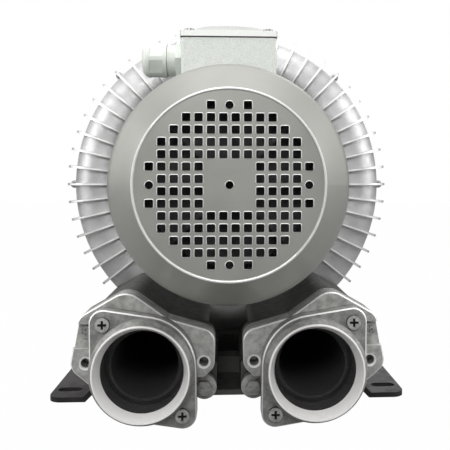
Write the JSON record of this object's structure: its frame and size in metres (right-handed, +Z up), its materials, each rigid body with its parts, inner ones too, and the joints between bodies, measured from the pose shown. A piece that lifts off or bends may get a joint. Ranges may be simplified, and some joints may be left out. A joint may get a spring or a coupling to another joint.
{
  "type": "side channel blower",
  "caption": "Side channel blower: motor with perforated fan cover, ribbed ring channel and two threaded ports on silencer tubes over a slotted foot bracket.",
  "frame": {"origin": "middle of the four foot slots, on the floor plane under the feet", "axes": "+X to the right seen from the fan cover, +Y along the shaft from the fan cover to the rear cover, +Z up"},
  "size_m": [0.303, 0.2705, 0.3245],
  "materials": {
    "cast_casing": "satin",
    "sheet_cowl": "satin",
    "bracket_steel": "satin",
    "zinc_steel": "satin",
    "bright_steel": "polished",
    "core_steel": "matte",
    "bare_aluminium": "satin",
    "copper": "satin",
    "brass_studs": "satin",
    "gland_plastic": "satin",
    "black_plastic": "matte",
    "rubber": "matte",
    "gasket_fibre": "matte",
    "sleeve_foam": "matte"
  },
  "bodies": {
    "casing": {"base_bracket": "bracket_steel", "blower_housing": "cast_casing", "box_gasket": "rubber", "box_lid": "cast_casing", "bracket_bolts": "zinc_steel", "cover_bolts": "zinc_steel", "cover_seal": "rubber", "drive_bearing_outer": "bright_steel", "duct_gaskets": "gasket_fibre", "fan_bearing_outer": "bright_steel", "fan_cover": "sheet_cowl", "fan_cover_screws": "zinc_steel", "fan_end_shield": "cast_casing", "gland_body": "gland_plastic", "gland_locknut": "gland_plastic", "gland_nut": "gland_plastic", "gland_seal": "rubber", "lid_screws": "zinc_steel", "motor_frame": "cast_casing", "port_flange_left": "cast_casing", "port_flange_right": "cast_casing", "port_gasket_left": "gasket_fibre", "port_gasket_right": "gasket_fibre", "port_screws_left": "zinc_steel", "port_screws_right": "zinc_steel", "rear_cover": "cast_casing", "shaft_seal": "rubber", "silencer_bolts_left": "zinc_steel", "silencer_bolts_right": "zinc_steel", "silencer_cover_left": "cast_casing", "silencer_cover_right": "cast_casing", "silencer_gasket_left": "gasket_fibre", "silencer_gasket_right": "gasket_fibre", "silencer_housing": "cast_casing", "silencer_sleeve_left": "sleeve_foam", "silencer_sleeve_right": "sleeve_foam", "stator_core": "core_steel", "terminal_board": "black_plastic", "terminal_box": "cast_casing", "terminal_studs": "brass_studs", "tie_rods": "zinc_steel", "winding_heads": "copper"},
    "rotor": {"shaft": "bright_steel", "rotor_core": "core_steel", "rotor_end_rings": "bare_aluminium", "impeller": "bare_aluminium", "impeller_key": "bright_steel", "shaft_sleeve": "bright_steel", "impeller_washer": "zinc_steel", "impeller_nut": "zinc_steel", "cooling_fan": "black_plastic", "fan_clip": "zinc_steel", "drive_bearing_inner": "bright_steel", "fan_bearing_inner": "bright_steel"},
    "drive_balls": {"drive_bearing_balls": "bright_steel", "drive_bearing_cage": "black_plastic"},
    "fan_balls": {"fan_bearing_balls": "bright_steel", "fan_bearing_cage": "black_plastic"}
  },
  "joints": [
    {"name": "rotor_spin", "type": "hinge", "parent": "casing", "child": "rotor", "pos_m": [0, 0, 0.173], "axis": [0, 1, 0], "continuous": true},
    {"name": "drive_cage_spin", "type": "hinge", "parent": "casing", "child": "drive_balls", "pos_m": [0, 0.023, 0.173], "axis": [0, 1, 0], "continuous": true},
    {"name": "fan_cage_spin", "type": "hinge", "parent": "casing", "child": "fan_balls", "pos_m": [0, -0.121, 0.173], "axis": [0, 1, 0], "continuous": true}
  ],
  "couplings": [
    {"joint": "drive_cage_spin", "follows": "rotor_spin", "ratio": 0.42},
    {"joint": "fan_cage_spin", "follows": "rotor_spin", "ratio": 0.42}
  ]
}
